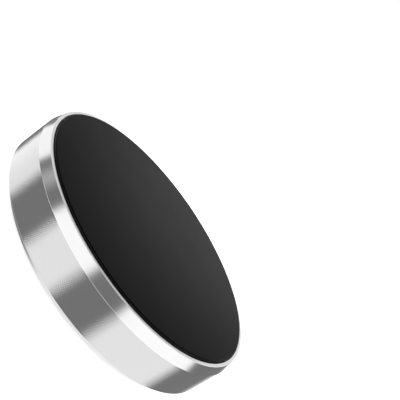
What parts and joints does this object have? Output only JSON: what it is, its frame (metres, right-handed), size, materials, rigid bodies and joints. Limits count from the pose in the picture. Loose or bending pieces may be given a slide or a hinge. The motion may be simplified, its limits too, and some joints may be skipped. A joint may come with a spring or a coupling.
{
  "type": "round magnetic car phone mount",
  "caption": "Flat round magnetic phone mount: aluminium shell with knurled side, black silicone pad, ring of magnets inside, adhesive foam back.",
  "frame": {"origin": "centre of the back face, where the mount meets the surface it is stuck to", "axes": "+Z along the mount's axis, out of the silicone pad towards the phone"},
  "size_m": [0.04, 0.04, 0.0076],
  "materials": {
    "turned_aluminium": "micro-knurled straight side, polished cone and lip",
    "silicone_pad": "satin, very fine grain",
    "adhesive_film": "clear tacky film",
    "carrier_plastic": "moulded, lightly textured",
    "magnet_nickel": "bright nickel plate",
    "zinc_plated_steel": "stamped, zinc plated",
    "cover_plastic": "moulded, satin",
    "screw_steel": "zinc plated",
    "tape_foam": "closed-cell acrylic foam",
    "liner_paper": "silicone-coated release paper"
  },
  "bodies": {
    "root": {"housing": "turned_aluminium", "face_pad": "silicone_pad", "pad_adhesive": "adhesive_film", "magnet_carrier": "carrier_plastic", "carrier_adhesive": "adhesive_film", "magnet_1": "magnet_nickel", "magnet_2": "magnet_nickel", "magnet_3": "magnet_nickel", "magnet_4": "magnet_nickel", "magnet_5": "magnet_nickel", "magnet_6": "magnet_nickel", "magnet_7": "magnet_nickel", "magnet_8": "magnet_nickel", "yoke_plate": "zinc_plated_steel", "back_cover": "cover_plastic", "cover_screws": "screw_steel", "foam_tape": "tape_foam", "release_liner": "liner_paper"}
  },
  "joints": []
}
